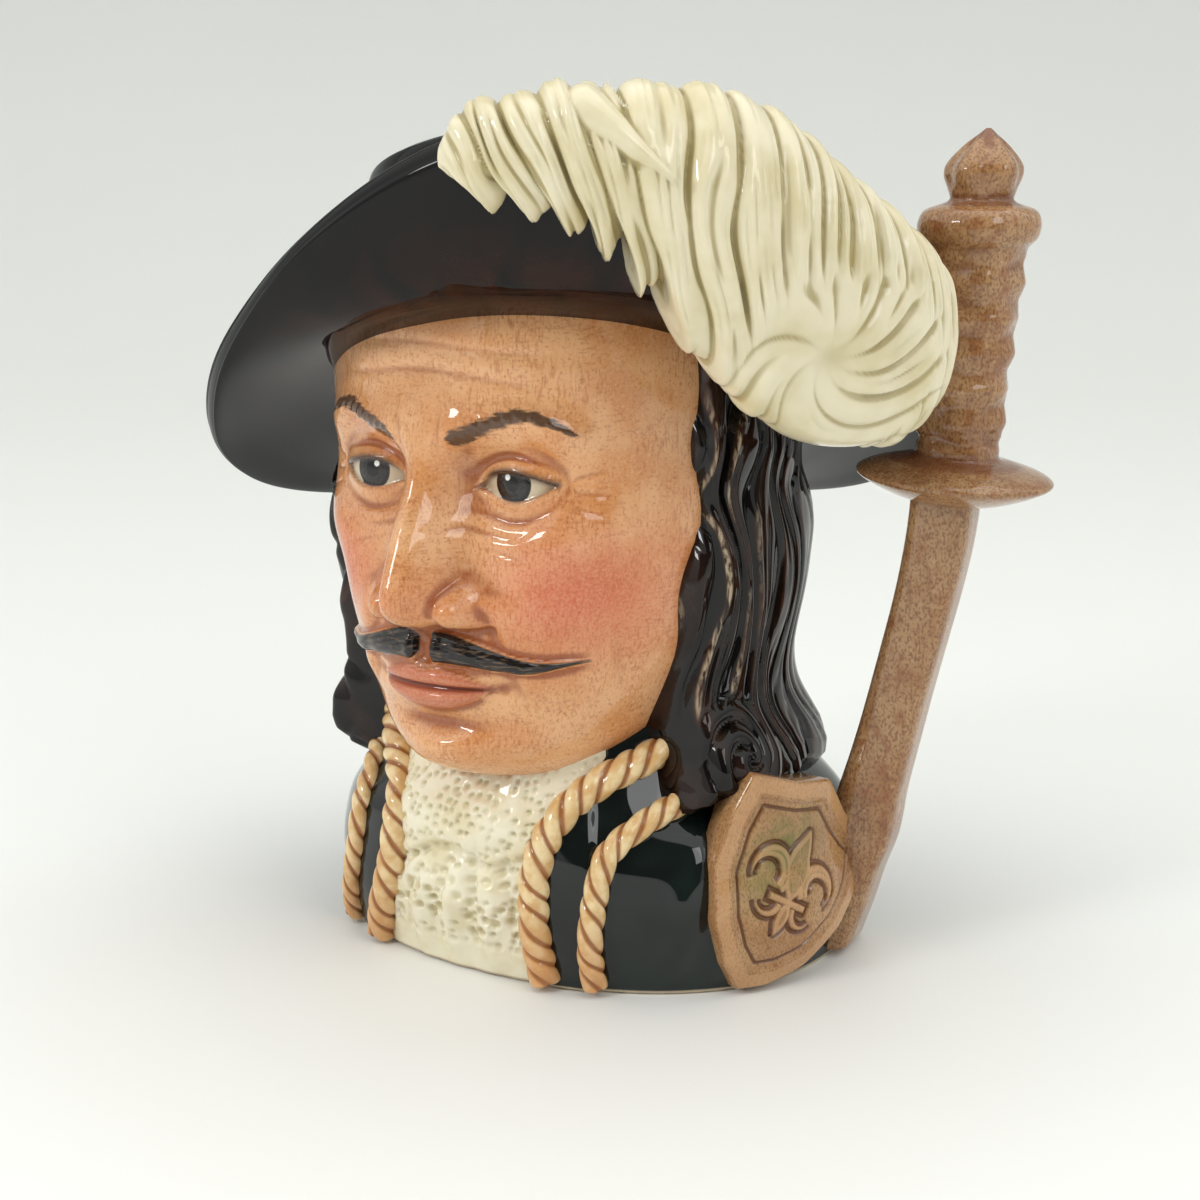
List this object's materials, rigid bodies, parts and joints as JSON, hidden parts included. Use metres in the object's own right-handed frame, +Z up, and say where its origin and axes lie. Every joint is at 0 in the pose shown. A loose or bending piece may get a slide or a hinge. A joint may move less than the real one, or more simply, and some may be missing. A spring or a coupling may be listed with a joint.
{
  "type": "toby jug",
  "caption": "Hollow glazed toby jug cast as the head of a cavalier in a plumed hat, with a sword as its handle.",
  "frame": {"origin": "centre of the flat underside that the jug stands on", "axes": "+Z up through the open mouth, the face looks along -Y, the sword handle stands at +X"},
  "size_m": [0.1803, 0.1587, 0.1878],
  "materials": {
    "jug": "hand painted under a clear gloss glaze"
  },
  "bodies": {
    "root": {"jug": "jug"}
  },
  "joints": []
}
